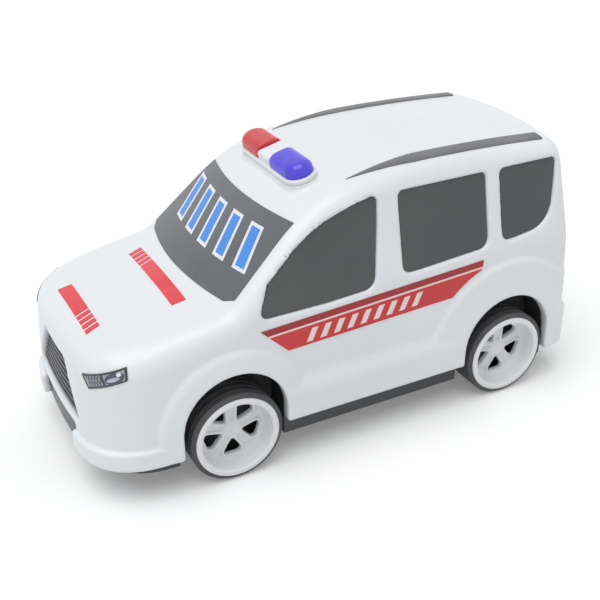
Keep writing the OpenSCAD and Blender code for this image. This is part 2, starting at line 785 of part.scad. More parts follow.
module rim() {
    seat_r = rim_r - skin_gap / 2;
    dish_r = rim_r - lip_w;
    floor_r = dish_r - 2;
    color("whitesmoke") difference() {
        rotate_extrude($fn = round_fn)
            polygon([
                [0, dish_depth - 3], [hub_r - 1.5, dish_depth - 3], [hub_r, dish_depth - 1.5],
                [hub_r + 0.5, dish_depth], [floor_r, dish_depth], [dish_r, 0.9], [dish_r + 0.9, 0],
                [seat_r - 0.6, 0], [seat_r, 0.6], [seat_r, dish_depth / 2],
                [seat_r - rim_t, dish_depth / 2], [seat_r - rim_t, rim_t], [dish_r + rim_t / 2, rim_t],
                [floor_r + rim_t, dish_depth + rim_t], [axle_d / 2, dish_depth + rim_t],
                [axle_d / 2, dish_depth - axle_tuck], [0, dish_depth - axle_tuck]
            ]);
        for (k = [0 : spoke_count - 1])
            rotate(360 * k / spoke_count)
                translate([0, 0, dish_depth - overcut])
                    linear_extrude(rim_t + 2 * overcut)
                        rounded([[hub_r + 2, 0, 1], [floor_r - 3, 4, 1.8], [floor_r - 3, -4, 1.8]]);
    }
}
module axle() {
    color("silver") rotate([90, 0, 0])
        cylinder(h = track_w - 2 * (dish_depth - axle_tuck), d = axle_d, center = true, $fn = round_fn);
}
// Puts a wheel part on an axle, side 1 for the left and -1 for the right
module on_axle(axle_x, side) {
    translate([axle_x, side * track_w / 2, axle_z]) rotate([side * 90, 0, 0]) children();
}
module front_axle() {
    translate([front_axle_x, 0, axle_z]) axle();
}
module front_left_tyre() {
    on_axle(front_axle_x, 1) tyre();
}
module front_right_tyre() {
    on_axle(front_axle_x, -1) tyre();
}
module front_left_rim() {
    on_axle(front_axle_x, 1) rim();
}
module front_right_rim() {
    on_axle(front_axle_x, -1) rim();
}
module rear_axle() {
    translate([rear_axle_x, 0, axle_z]) axle();
}
module rear_left_tyre() {
    on_axle(rear_axle_x, 1) tyre();
}
module rear_right_tyre() {
    on_axle(rear_axle_x, -1) tyre();
}
module rear_left_rim() {
    on_axle(rear_axle_x, 1) rim();
}
module rear_right_rim() {
    on_axle(rear_axle_x, -1) rim();
}

body_shell();
chassis();
grille_insert();
window_panel_left();
window_panel_right();
rear_window_panel();
windscreen_sticker();
bonnet_stickers();
side_sticker_left();
side_sticker_right();
headlamp_sticker_left();
headlamp_sticker_right();
light_bar_base();
light_bar_red_lens();
light_bar_blue_lens();
roof_rail_left();
roof_rail_right();
front_axle();
front_left_tyre();
front_right_tyre();
front_left_rim();
front_right_rim();
rear_axle();
rear_left_tyre();
rear_right_tyre();
rear_left_rim();
rear_right_rim();
chassis_screws();
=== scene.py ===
import math

import bpy
import numpy as np
from mathutils import Matrix, Vector


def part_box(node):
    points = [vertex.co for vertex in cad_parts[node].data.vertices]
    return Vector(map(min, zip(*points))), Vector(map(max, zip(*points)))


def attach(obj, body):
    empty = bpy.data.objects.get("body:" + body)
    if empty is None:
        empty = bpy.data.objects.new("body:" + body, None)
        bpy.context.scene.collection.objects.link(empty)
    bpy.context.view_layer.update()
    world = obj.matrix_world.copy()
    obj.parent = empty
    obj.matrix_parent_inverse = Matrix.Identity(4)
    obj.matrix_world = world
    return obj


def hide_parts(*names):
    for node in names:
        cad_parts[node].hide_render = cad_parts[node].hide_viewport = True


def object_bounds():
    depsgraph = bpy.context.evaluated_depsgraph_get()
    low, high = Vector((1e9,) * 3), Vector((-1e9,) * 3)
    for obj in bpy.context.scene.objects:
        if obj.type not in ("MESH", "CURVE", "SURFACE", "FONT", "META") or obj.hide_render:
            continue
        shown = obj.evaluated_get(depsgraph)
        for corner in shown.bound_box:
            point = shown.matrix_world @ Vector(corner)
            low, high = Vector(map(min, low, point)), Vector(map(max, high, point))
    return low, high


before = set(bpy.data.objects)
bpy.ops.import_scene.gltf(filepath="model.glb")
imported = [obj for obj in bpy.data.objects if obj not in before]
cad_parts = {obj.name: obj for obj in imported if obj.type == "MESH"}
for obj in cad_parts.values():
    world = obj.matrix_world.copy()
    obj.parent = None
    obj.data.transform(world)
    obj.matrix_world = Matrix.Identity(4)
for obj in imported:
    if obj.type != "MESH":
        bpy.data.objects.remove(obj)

cadLow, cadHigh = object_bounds()
mm = 0.001
print("stage: frame loaded")

# Camera, standing where the photographer stood
photoCamera = {"place": (0.227328, 0.440, 0.329452), "azimuth": 1.095481, "elevation": 0.509501,
               "roll": -0.009609, "lens": 60.51, "sensor": 36, "near": 0.01}


def addCamera(spec):
    level = math.cos(spec["elevation"])
    forward = -Vector((level * math.cos(spec["azimuth"]), level * math.sin(spec["azimuth"]),
                       math.sin(spec["elevation"])))
    flat = forward.cross(Vector((0, 0, 1))).normalized()
    upright = flat.cross(forward)
    turn, lean = math.cos(spec["roll"]), math.sin(spec["roll"])
    right = flat * turn + upright * lean
    up = upright * turn - flat * lean
    data = bpy.data.cameras.new("photoCamera")
    data.sensor_width = spec["sensor"]
    data.lens = spec["lens"]
    data.clip_start = spec["near"]
    camera = bpy.data.objects.new("photoCamera", data)
    bpy.context.scene.collection.objects.link(camera)
    axes = Matrix((right, up, -forward)).transposed().to_4x4()
    camera.matrix_world = Matrix.Translation(spec["place"]) @ axes
    bpy.context.scene.camera = camera


addCamera(photoCamera)
bpy.context.scene.view_settings.view_transform = "Standard"


# Shader helpers; colours are given as they look on a screen
def linear(red, green, blue):
    shares = [value / 255 for value in (red, green, blue)]
    return tuple(s / 12.92 if s <= 0.04045 else ((s + 0.055) / 1.055) ** 2.4 for s in shares) + (1.0,)


def addNode(tree, kind, inputs=None, **settings):
    node = tree.nodes.new(kind)
    for key, value in settings.items():
        setattr(node, key, value)
    for key, value in (inputs or {}).items():
        if isinstance(value, bpy.types.NodeSocket):
            tree.links.new(value, node.inputs[key])
        else:
            node.inputs[key].default_value = value
    return node


def calc(tree, operation, *values):
    return addNode(tree, "ShaderNodeMath", dict(enumerate(values)), operation=operation).outputs[0]


def between(tree, value, low, high):
    above = calc(tree, "GREATER_THAN", value, low)
    return calc(tree, "MULTIPLY", above, calc(tree, "LESS_THAN", value, high))


def mixColour(tree, share, first, second):
    return addNode(tree, "ShaderNodeMix", {0: share, 6: first, 7: second}, data_type="RGBA").outputs[2]


cloudEnds = (0.35, 0.65)


# Plastic with a faint cloud of a second shade, and a fine grain in its gloss
def moulded(look, paint=None):
    material = bpy.data.materials.new(look["name"])
    material.use_nodes = True
    tree = material.node_tree
    shader = tree.nodes["Principled BSDF"]
    place = addNode(tree, "ShaderNodeTexCoord").outputs["Object"]
    cloud = addNode(tree, "ShaderNodeTexNoise", {"Vector": place, "Scale": look["cloud"], "Detail": 3.0})
    grain = addNode(tree, "ShaderNodeTexNoise", {"Vector": place, "Scale": look["grain"], "Detail": 2.0})
    ramp = addNode(tree, "ShaderNodeValToRGB", {"Fac": cloud.outputs["Fac"]})
    for element, position, key in zip(ramp.color_ramp.elements, cloudEnds, ("colour", "shade")):
        element.position = position
        element.color = look[key]
    colour = ramp.outputs["Color"]
    if paint:
        uv = addNode(tree, "ShaderNodeUVMap", uv_map="print").outputs["UV"]
        axes = addNode(tree, "ShaderNodeSeparateXYZ", {"Vector": uv})
        colour = paint(tree, axes.outputs["X"], axes.outputs["Y"], colour)
    tree.links.new(colour, shader.inputs["Base Color"])
    rough = addNode(tree, "ShaderNodeMapRange", {"Value": grain.outputs["Fac"], "To Min": look["rough"][0],
                                                 "To Max": look["rough"][1]})
    tree.links.new(rough.outputs["Result"], shader.inputs["Roughness"])
    bump = addNode(tree, "ShaderNodeBump", {"Height": grain.outputs["Fac"], "Distance": look["bump"],
                                            "Strength": 0.5})
    tree.links.new(bump.outputs["Normal"], shader.inputs["Normal"])
    for key, value in look.get("finish", {}).items():
        shader.inputs[key].default_value = value
    return material


# Prints: screen and band on coordinates in units of 100 mm, lamp on shares of its width and height
screenBars = {"middle": 0.29, "slant": 0.45, "perUnit": 5.6, "rowHalf": 0.44,
              "bars": [((0.29, 0.125), linear(226, 230, 236)), ((0.19, 0.107), linear(70, 140, 225))]}


def paintScreen(tree, across, up, ground):
    level = calc(tree, "SUBTRACT", up, screenBars["middle"])
    slanted = calc(tree, "MULTIPLY_ADD", level, screenBars["slant"], across)
    turn = calc(tree, "FRACT", calc(tree, "MULTIPLY_ADD", slanted, screenBars["perUnit"], 0.5))
    cell = calc(tree, "ABSOLUTE", calc(tree, "SUBTRACT", turn, 0.5))
    height = calc(tree, "ABSOLUTE", level)
    inRow = calc(tree, "LESS_THAN", calc(tree, "ABSOLUTE", slanted), screenBars["rowHalf"])
    colour = ground
    for (halfWide, halfTall), barColour in screenBars["bars"]:
        wide = calc(tree, "LESS_THAN", cell, halfWide)
        tall = calc(tree, "LESS_THAN", height, halfTall)
        inBar = calc(tree, "MULTIPLY", inRow, calc(tree, "MULTIPLY", wide, tall))
        colour = mixColour(tree, inBar, colour, barColour)
    return colour


bandMarks = {"strip": 0.036, "line": 0.047, "slant": 0.5, "perUnit": 13.0, "share": 0.46,
             "along": (0.308, 0.96), "below": (0.066, 0.138), "stripRed": linear(160, 30, 40),
             "linePale": linear(238, 214, 208), "markPale": linear(238, 220, 214)}


def paintBand(tree, along, below, ground):
    inStrip = calc(tree, "LESS_THAN", below, bandMarks["strip"])
    strip = mixColour(tree, inStrip, ground, bandMarks["stripRed"])
    inLine = between(tree, below, bandMarks["strip"], bandMarks["line"])
    lined = mixColour(tree, inLine, strip, bandMarks["linePale"])
    slanted = calc(tree, "MULTIPLY_ADD", below, bandMarks["slant"], along)
    turn = calc(tree, "FRACT", calc(tree, "MULTIPLY", slanted, bandMarks["perUnit"]))
    marks = calc(tree, "LESS_THAN", turn, bandMarks["share"])
    field = calc(tree, "MULTIPLY", between(tree, slanted, *bandMarks["along"]),
                 between(tree, below, *bandMarks["below"]))
    return mixColour(tree, calc(tree, "MULTIPLY", marks, field), lined, bandMarks["markPale"])


lampMarks = {"innerWide": (0.05, 0.95), "innerTall": (0.13, 0.87), "slant": 1.7, "perWidth": 14.0,
             "line": 0.36, "lattice": (0.1, 0.46), "divider": (0.46, 0.51), "edgeDark": linear(54, 56, 66),
             "latticeGrey": linear(84, 86, 98), "dividerGrey": linear(60, 62, 72),
             "ovals": [((0.73, 0.45), (0.21, 0.42), linear(80, 81, 100)),
                       ((0.70, 0.40), (0.14, 0.15), linear(182, 182, 202)),
                       ((0.83, 0.66), (0.05, 0.14), linear(226, 228, 234))]}


def inOval(tree, across, up, middle, reach):
    parts = []
    for value, centre, half in zip((across, up), middle, reach):
        share = calc(tree, "DIVIDE", calc(tree, "SUBTRACT", value, centre), half)
        parts.append(calc(tree, "MULTIPLY", share, share))
    return calc(tree, "LESS_THAN", calc(tree, "ADD", *parts), 1.0)


def paintLamp(tree, across, up, ground):
    inner = calc(tree, "MULTIPLY", between(tree, across, *lampMarks["innerWide"]),
                 between(tree, up, *lampMarks["innerTall"]))
    colour = mixColour(tree, inner, lampMarks["edgeDark"], ground)
    lines = []
    for slant in (lampMarks["slant"], -lampMarks["slant"]):
        run = calc(tree, "MULTIPLY_ADD", up, slant, calc(tree, "MULTIPLY", across, lampMarks["perWidth"]))
        lines.append(calc(tree, "LESS_THAN", calc(tree, "FRACT", run), lampMarks["line"]))
    inLattice = between(tree, across, *lampMarks["lattice"])
    lattice = calc(tree, "MULTIPLY", calc(tree, "MAXIMUM", *lines), inLattice)
    colour = mixColour(tree, lattice, colour, lampMarks["latticeGrey"])
    colour = mixColour(tree, between(tree, across, *lampMarks["divider"]), colour, lampMarks["dividerGrey"])
    for middle, reach, ovalColour in lampMarks["ovals"]:
        colour = mixColour(tree, inOval(tree, across, up, middle, reach), colour, ovalColour)
    return colour


looks = {
    "bodyWhite": {"colour": (0.80, 0.82, 0.84, 1), "shade": (0.77, 0.795, 0.815, 1), "cloud": 14.0,
                  "grain": 420.0, "rough": (0.26, 0.36), "bump": 0.00004},
    "rimWhite": {"colour": (0.79, 0.80, 0.81, 1), "shade": (0.76, 0.77, 0.78, 1), "cloud": 60.0,
                 "grain": 600.0, "rough": (0.32, 0.44), "bump": 0.00004},
    "chassisBlack": {"colour": linear(60, 61, 64), "shade": linear(72, 73, 75), "cloud": 30.0,
                     "grain": 1100.0, "rough": (0.5, 0.7), "bump": 0.00015},
    "grilleBlack": {"colour": linear(34, 34, 38), "shade": linear(48, 47, 54), "cloud": 50.0,
                    "grain": 900.0, "rough": (0.28, 0.42), "bump": 0.00006},
    "smokedWindow": {"colour": linear(70, 71, 72), "shade": linear(80, 81, 81), "cloud": 9.0,
                     "grain": 160.0, "rough": (0.07, 0.13), "bump": 0.00005},
    "railGrey": {"colour": linear(104, 104, 106), "shade": linear(118, 118, 119), "cloud": 40.0,
                 "grain": 900.0, "rough": (0.38, 0.5), "bump": 0.00005},
    "tyreBlack": {"colour": linear(66, 66, 69), "shade": linear(79, 78, 79), "cloud": 45.0,
                  "grain": 900.0, "rough": (0.55, 0.75), "bump": 0.0002},
    "axleSteel": {"colour": linear(178, 180, 184), "shade": linear(160, 162, 167), "cloud": 90.0,
                  "grain": 1500.0, "rough": (0.22, 0.4), "bump": 0.00003, "finish": {"Metallic": 1.0}},
    "screwSteel": {"colour": linear(150, 152, 156), "shade": linear(126, 128, 134), "cloud": 200.0,
                   "grain": 2500.0, "rough": (0.3, 0.5), "bump": 0.00004, "finish": {"Metallic": 1.0}},
    "redLens": {"colour": linear(236, 58, 64), "shade": linear(242, 80, 84), "cloud": 60.0,
                "grain": 500.0, "rough": (0.06, 0.12), "bump": 0.00004,
                "finish": {"Transmission Weight": 0.4, "IOR": 1.49}},
    "blueLens": {"colour": linear(88, 72, 248), "shade": linear(112, 98, 252), "cloud": 60.0,
                 "grain": 500.0, "rough": (0.06, 0.12), "bump": 0.00004,
                 "finish": {"Transmission Weight": 0.4, "IOR": 1.49}},
    "bonnetRed": {"colour": linear(222, 56, 66), "shade": linear(230, 70, 80), "cloud": 60.0,
                  "grain": 700.0, "rough": (0.2, 0.3), "bump": 0.00002},
    "bandRed": {"colour": linear(198, 38, 44), "shade": linear(206, 48, 52), "cloud": 40.0,
                "grain": 700.0, "rough": (0.2, 0.3), "bump": 0.00002, "paint": paintBand},
    "screenPrint": {"colour": linear(92, 95, 101), "shade": linear(102, 105, 111), "cloud": 20.0,
                    "grain": 700.0, "rough": (0.18, 0.28), "bump": 0.00002, "paint": paintScreen},
    "lampPrint": {"colour": linear(146, 149, 158), "shade": linear(160, 163, 171), "cloud": 150.0,
                  "grain": 900.0, "rough": (0.2, 0.3), "bump": 0.00002, "paint": paintLamp},
}
paints = {key: moulded(dict(look, name=key), look.get("paint")) for key, look in looks.items()}
print("stage: materials made")


# Body form in millimetres, as gaps that are negative inside
def middleOf(node):
    low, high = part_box(node)
    return [500 * (a + b) for a, b in zip(low, high)]  # half the sum, in millimetres


frontAxleX, _, axleZ = middleOf("front_axle")
rearAxleX = middleOf("rear_axle")[0]
noseX = 1000 * cadHigh.x
halfW, beltH, cowlH, roofH = 62.5, 90.0, 92.0, 146.0
cowlX, roofPeakX, archZ = frontAxleX + 4, rearAxleX + 45, 33.5
proud, wall = 2.2, 2.2
rake = math.radians(41.5)
formSpec = {"sideLean": 12, "beltEdge": 0.8, "noseZ": 46, "noseLean": 5, "tailZ": 70, "tailLean": 6,
            "endBow": 5, "leanEdge": 2, "bonnetSlope": 9.5, "bonnetCrown": 4, "screenBow": 10.5,
            "roofCrown": 5, "fallAhead": 0.002, "fallBehind": 0.0005, "screenEdge": 10, "cowlEdge": 4,
            "topEdge": (8, 12), "topEdgeRun": 45, "noseEdge": 32, "tailEdge": 8}


def spread(span, share):
    return span[0] + share * (span[1] - span[0])


# Larger of two gaps, with the edge between them rounded over a width
def softMax(a, b, width):
    return np.maximum(a, b) + np.maximum(width - np.abs(a - b), 0) ** 2 / (4 * width)


def softMin(a, b, width):
    return -softMax(-a, -b, width)


def leaning(distance, height, degrees):
    turn = math.radians(degrees)
    return distance * math.cos(turn) + height * math.sin(turn)


def bodyGap(x, y, z):
    spec = formSpec
    y = np.abs(y)
    bowed = (y / halfW) ** 2
    side = softMax(y - halfW, leaning(y - halfW, z - beltH, spec["sideLean"]), spec["beltEdge"])
    ahead = x - noseX + proud
    nose = softMax(ahead, leaning(ahead, z - spec["noseZ"], spec["noseLean"]), spec["leanEdge"])
    behind = -x - noseX + proud
    tail = softMax(behind, leaning(behind, z - spec["tailZ"], spec["tailLean"]), spec["leanEdge"])
    bonnet = leaning(z - cowlH, np.maximum(x - cowlX, 0), spec["bonnetSlope"]) + spec["bonnetCrown"] * bowed
    screen = (x - cowlX + spec["screenBow"] * bowed) * math.sin(rake) + (z - cowlH) * math.cos(rake)
    fall = np.where(x > roofPeakX, spec["fallAhead"], spec["fallBehind"])
    roof = z - roofH + spec["roofCrown"] * bowed + fall * (x - roofPeakX) ** 2
    top = softMin(bonnet, softMax(screen, roof, spec["screenEdge"]), spec["cowlEdge"])
    topEdge = spread(spec["topEdge"], np.clip((x - cowlX) / spec["topEdgeRun"] + 0.5, 0, 1))
    corner = softMax(side, nose + spec["endBow"] * bowed, spec["noseEdge"])
    return softMax(softMax(corner, top, topEdge), tail + spec["endBow"] * bowed, spec["tailEdge"])


# Outlines are lists of rounded corners, each with its two places and its radius
def hullGap(u, v, corners, turns=96):
    gap = None
    for turn in np.linspace(0, 2 * math.pi, turns, endpoint=False):
        across, up = math.cos(turn), math.sin(turn)
        reach = max(c[0] * across + c[1] * up + c[2] for c in corners)
        ahead = u * across + v * up - reach
        gap = ahead if gap is None else np.maximum(gap, ahead)
    return gap


def slopeOf(gap, points, step=0.04):
    slope = np.empty_like(points)
    for axis in range(3):
        ahead, behind = points.copy(), points.copy()
        ahead[:, axis] += step
        behind[:, axis] -= step
        slope[:, axis] = (gap(*ahead.T) - gap(*behind.T)) / (2 * step)
    return slope


# Points moved along the slope of a gap, until they lie at a level
def settle(points, level, gap=bodyGap, rounds=5, limit=2.0, leastSlope=0.1):
    points = points.copy()
    for _ in range(rounds):
        slope = slopeOf(gap, points)
        steep = np.maximum((slope ** 2).sum(1), leastSlope)
        move = np.clip((gap(*points.T) - level) / steep, -limit, limit)
        points -= move[:, None] * slope
    return points


# Points moved along a heading, until they meet the body form
def onForm(points, heading, level, rounds=14, leastSlope=0.3):
    points = np.array(points, float)
    heading = np.broadcast_to(np.asarray(heading, float), points.shape)
    for _ in range(rounds):
        steep = np.maximum((slopeOf(bodyGap, points) * heading).sum(1), leastSlope)
        points = points - ((bodyGap(*points.T) - level) / steep)[:, None] * heading
    return points


# Meshes from gaps: one point in each cell that the surface crosses, then pulled on to the surface
def surfaceNet(gap, low, high, step):
    axes = [np.arange(a - 1.5 * step, b + 2.5 * step, step) for a, b in zip(low, high)]
    values = np.broadcast_to(gap(axes[0][:, None, None], axes[1][None, :, None], axes[2][None, None, :]),
                             [len(a) for a in axes])
    inside = values < 0
    shape = [n - 1 for n in inside.shape]
    shifts = [(i, j, k) for i in (0, 1) for j in (0, 1) for k in (0, 1)]
    filled = sum(inside[i:i + shape[0], j:j + shape[1], k:k + shape[2]].astype(np.int8) for i, j, k in shifts)
    cells = np.argwhere((filled > 0) & (filled < 8))
    index = np.full(shape, -1)
    index[tuple(cells.T)] = np.arange(len(cells))
    total, count = np.zeros((len(cells), 3)), np.zeros(len(cells))
    for shift in shifts:
        for axis in range(3):
            if shift[axis]:
                continue
            start = cells + shift
            end = start.copy()
            end[:, axis] += 1
            a, b = values[tuple(start.T)], values[tuple(end.T)]
            crossed = (a < 0) != (b < 0)
            spot = np.tile(np.array(shift, float), (len(cells), 1))
            spot[:, axis] = np.where(crossed, a / np.where(crossed, a - b, 1), 0)
            total += np.where(crossed[:, None], spot, 0)
            count += crossed
    points = (cells + total / count[:, None]) * step + [a[0] for a in axes]
    quads = []
    for axis in range(3):
        first, second = (axis + 1) % 3, (axis + 2) % 3
        ahead = np.roll(inside, -1, axis)
        spots = np.argwhere(inside != ahead)
        keep = (spots[:, axis] < inside.shape[axis] - 1) & (spots[:, first] > 0) & (spots[:, second] > 0)
        keep &= (spots[:, first] < shape[first]) & (spots[:, second] < shape[second])
        spots = spots[keep]
        ring = []
        for da, db in ((-1, -1), (0, -1), (0, 0), (-1, 0)):
            near = spots.copy()
            near[:, first] += da
            near[:, second] += db
            ring.append(index[tuple(near.T)])
        ring = np.array(ring).T
        outward = inside[tuple(spots.T)]
        quads.append(np.where(outward[:, None], ring, ring[:, ::-1]))
    points = settle(points, 0.0, gap, rounds=4, limit=0.4 * step)
    return points, np.concatenate(quads)


def makePiece(name, points, faces, body, nodes, slotName, paint, uv=None, crease=None):
    mesh = bpy.data.meshes.new(name)
    mesh.from_pydata((np.asarray(points) * mm).tolist(), [], [list(map(int, f)) for f in faces])
    mesh.polygons.foreach_set("use_smooth", [True] * len(mesh.polygons))
    if uv is not None:
        layer = mesh.uv_layers.new(name="print")
        corners = np.empty(len(mesh.loops), int)
        mesh.loops.foreach_get("vertex_index", corners)
        layer.data.foreach_set("uv", np.asarray(uv, float)[corners].ravel())
    mesh.update()
    if crease:
        mesh.set_sharp_from_angle(angle=math.radians(crease))
    mesh.materials.append(paints[paint])
    piece = bpy.data.objects.new(name, mesh)
    bpy.context.scene.collection.objects.link(piece)
    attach(piece, body)
    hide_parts(*nodes)


# Sheets laid on the form, closed all round
def sheetFaces(rows, columns, turned):
    cell = [(i * columns + j, (i + 1) * columns + j, (i + 1) * columns + j + 1, i * columns + j + 1)
            for i in range(rows - 1) for j in range(columns - 1)]
    under = rows * columns
    rim = list(range(columns)) + [i * columns + columns - 1 for i in range(1, rows)]
    rim += [(rows - 1) * columns + j for j in range(columns - 2, -1, -1)]
    rim += [i * columns for i in range(rows - 2, 0, -1)]
    faces = cell + [tuple(under + k for k in reversed(f)) for f in cell]
    faces += [(a, b, b + under, a + under) for a, b in zip(rim, rim[1:] + rim[:1])]
    return [tuple(reversed(f)) for f in faces] if turned else faces


def sheet(net, low, high):
    rows, columns = net.shape[:2]
    flat = net.reshape(-1, 3)
    normal = np.cross(net[1, 0] - net[0, 0], net[0, 1] - net[0, 0])
    turned = float(normal @ slopeOf(bodyGap, flat[:1])[0]) < 0
    return np.concatenate([settle(flat, high), settle(flat, low)]), sheetFaces(rows, columns, turned)


def mirrored(points, faces):
    return points * [1, -1, 1], [tuple(reversed(f)) for f in faces]


def makePair(name, node, points, faces, slotName, paint, uv=None, crease=None):
    makePiece(name + "Left", points, faces, "car", [node + "_left"], slotName, paint, uv, crease)
    makePiece(name + "Right", *mirrored(points, faces), "car", [node + "_right"], slotName, paint, uv, crease)


# Several closed pieces in one mesh
def joined(pairs):
    points, faces, start = [], [], 0
    for somePoints, someFaces in pairs:
        points.append(somePoints)
        faces += [tuple(start + k for k in f) for f in someFaces]
        start += len(somePoints)
    return np.concatenate(points), faces


# Body shell, with its window pockets, wheel arches, flares, sills and bumpers
shellSpec = {"step": 1.37, "pocket": 4.4, "mouth": 5.4, "edge": 1.7, "pocketRound": 1.5, "archR": 28.0,
             "wellR": 31.2, "wellY": (41.0, 59.8), "archEdge": 1.6, "foot": (25.0, 20.0), "trayTop": 28.8,
             "noseFrom": 110.0, "tailFrom": -100.0, "ledge": (30.7, 44.3), "ledgeEdge": 1.0,
             "ledgeBlend": 0.7}
flareSpec = {"radius": (39.0, 49.0), "lift": (1.9, 3.7), "slope": 1.1, "offset": 1.2, "scale": 0.67,
             "inner": 57.0, "innerEdge": 4.0, "edge": 0.7, "blend": 0.6, "fadeFrom": 3.0, "fade": 18.0}
sillSpec = {"top": 49.0, "lift": 3.5, "slope": 2.0, "scale": 0.447, "inner": 50.0, "edge": 1.0, "blend": 0.6}
frontPillarX, middlePillarX = cowlX - 20, frontAxleX - 90
rearPillarX, tailPillarX = rearAxleX + 10.5, -noseX + 18
sideWindows = {
    "front": [(frontPillarX - 4.5, 89.5, 4), (frontPillarX - 8.5, 99.6, 3.5), (frontPillarX - 22.5, 112.6, 3),
              (frontPillarX - 31.5, 118.9, 3), (frontPillarX - 40, 123.2, 3), (frontPillarX - 48.5, 126, 3),
              (middlePillarX + 8.4, 130, 3), (middlePillarX + 16.5, 93.8, 7)],
    "middle": [(middlePillarX - 9.6, 130, 3), (rearPillarX + 7.3, 130, 3), (rearPillarX + 10.5, 99, 6),
               (middlePillarX - 11.5, 95.5, 5)],
    "rear": [(rearPillarX - 7.2, 130, 3), (tailPillarX + 3, 130, 3), (tailPillarX + 20, 113, 17),
             (rearPillarX - 9, 99, 4.5)],
}
grilleMouth = [(15, 63, 3), (-15, 63, 3), (30, 41, 3), (-30, 41, 3)]
lowerMouth = [(26, 32, 1.5), (-26, 32, 1.5), (22.5, 12, 1.5), (-22.5, 12, 1.5)]
# Outline of the lower panel: a black sheet in the bumper's notch, whose dark is partly painted shade under
# the bumper's lip
lowerInsertAndShade = [(26.3, 32.3, 1.5), (-26.3, 32.3, 1.5), (24.5, 22, 1.5), (-24.5, 22, 1.5)]
tailWindow = [(36, 128, 4), (-36, 128, 4), (40, 104, 6), (-40, 104, 6)]
barSpec = {"x": cowlX - 61, "lift": 0.2, "reach": 24.0, "radius": 9.0, "seat": 7.0, "seatEdge": 0.8,
           "seatBlend": 1.6}
barSpec["z"] = roofH - formSpec["fallAhead"] * (barSpec["x"] - roofPeakX) ** 2 + barSpec["lift"]
barSpec["tilt"] = math.atan(2 * formSpec["fallAhead"] * (barSpec["x"] - roofPeakX))


def archGap(x, z, axleX, radius):
    return np.where(z > archZ, np.hypot(x - axleX, z - archZ), np.abs(x - axleX)) - radius


# The light bar's own axes: along the roof and up from its seat
def seatPlace(x, z):
    turn, lean = math.cos(barSpec["tilt"]), math.sin(barSpec["tilt"])
    return ((x - barSpec["x"]) * turn - (z - barSpec["z"]) * lean,
            (x - barSpec["x"]) * lean + (z - barSpec["z"]) * turn)


def stadiumGap(u, y, radius):
    return np.hypot(u, np.maximum(np.abs(y) - barSpec["reach"], 0)) - radius


# Flares stand out most at the arch, and fade away before the tail
def flareGap(x, y, z, skin, axleX, radius):
    reach = np.hypot(x - axleX, z - archZ)
    share = np.clip((radius - reach) / (radius - shellSpec["archR"]), 0, 1)
    fade = np.clip((x + noseX - flareSpec["fadeFrom"]) / flareSpec["fade"], 0, 1)
    lift = spread(flareSpec["lift"], share) * fade
    cone = (reach - radius - flareSpec["offset"] + flareSpec["slope"] * (y - halfW)) * flareSpec["scale"]
    outer = softMax(skin - lift, cone, flareSpec["edge"])
    return softMax(outer, flareSpec["inner"] - y, flareSpec["innerEdge"])


def sillGap(x, y, z, skin):
    crease = (z - sillSpec["top"] + sillSpec["slope"] * (y - halfW)) * sillSpec["scale"]
    span = np.maximum(np.maximum(x - frontAxleX, rearAxleX - x), sillSpec["inner"] - y)
    return softMax(softMax(skin - sillSpec["lift"], crease, sillSpec["edge"]), span, sillSpec["edge"])


def shellGap(x, y, z):
    spec = shellSpec
    y = np.abs(y)
    skin = bodyGap(x, y, z)
    solid = skin
    for axleX, radius in zip((frontAxleX, rearAxleX), flareSpec["radius"]):
        solid = softMin(solid, flareGap(x, y, z, skin, axleX, radius), flareSpec["blend"])
    solid = softMin(solid, sillGap(x, y, z, skin), sillSpec["blend"])
    for top, end in zip(spec["ledge"], (frontAxleX - x, x - rearAxleX)):
        ledge = softMax(softMax(skin - proud, z - top, spec["ledgeEdge"]), end, spec["ledgeEdge"])
        solid = softMin(solid, ledge, spec["ledgeBlend"])
    u, w = seatPlace(x, z)
    tall = np.maximum(w, -barSpec["seat"] - w)
    seat = softMax(stadiumGap(u, y, barSpec["radius"]), tall, barSpec["seatEdge"])
    solid = softMin(solid, seat, barSpec["seatBlend"])
    foot = np.where((x > rearAxleX) & (x < frontAxleX), *spec["foot"])
    solid = softMax(solid, foot - z, spec["archEdge"])
    pocket = -skin - spec["pocket"]
    hollows = [softMax(hullGap(x, z, corners), pocket, spec["pocketRound"])
               for corners in sideWindows.values()]
    for corners in (grilleMouth, lowerMouth):
        deep = np.maximum(-skin - spec["mouth"], spec["noseFrom"] - x)
        hollows.append(np.maximum(hullGap(y, z, corners), deep))
    hollows.append(np.maximum(hullGap(y, z, tailWindow), np.maximum(pocket, x - spec["tailFrom"])))
    for hollow in hollows:
        solid = softMax(solid, -hollow, spec["edge"])
    inner, outer = spec["wellY"]
    for axleX in (frontAxleX, rearAxleX):
        arch = np.maximum(archGap(x, z, axleX, spec["archR"]), inner - y)
        well = np.maximum(archGap(x, z, axleX, spec["wellR"]), np.maximum(inner - y, y - outer))
        solid = np.maximum(softMax(solid, -arch, spec["archEdge"]), -well)
    tray = np.maximum(z - spec["trayTop"], skin + wall)
    return np.maximum(solid, -tray)


shellBox = (-noseX, -halfW - 3, shellSpec["foot"][1]), (noseX, halfW + 3, roofH + 1)
points, faces = surfaceNet(shellGap, *shellBox, shellSpec["step"])
makePiece("bodyShell", points, faces, "car", ["body_shell"], "body_white", "bodyWhite")
print("stage: body shell", len(faces), "quads")


# Window panes and the grille's back: discs drawn from an outline, laid under the skin
paneSpec = {"points": 144, "shares": (0.995, 0.985, 0.9, 0.75, 0.6, 0.45, 0.3, 0.15, 0.04), "rolled": 0.45,
            "crease": 40, "sideY": 56.0, "endX": 138.0}
paneDepths = {"window": (-1.5, -3.2), "grille": (-3.4, -4.8), "lower": (-1.4, -2.1)}


def runAlong(path):
    return np.concatenate([[0], np.cumsum(np.linalg.norm(np.diff(path, axis=0), axis=1))])


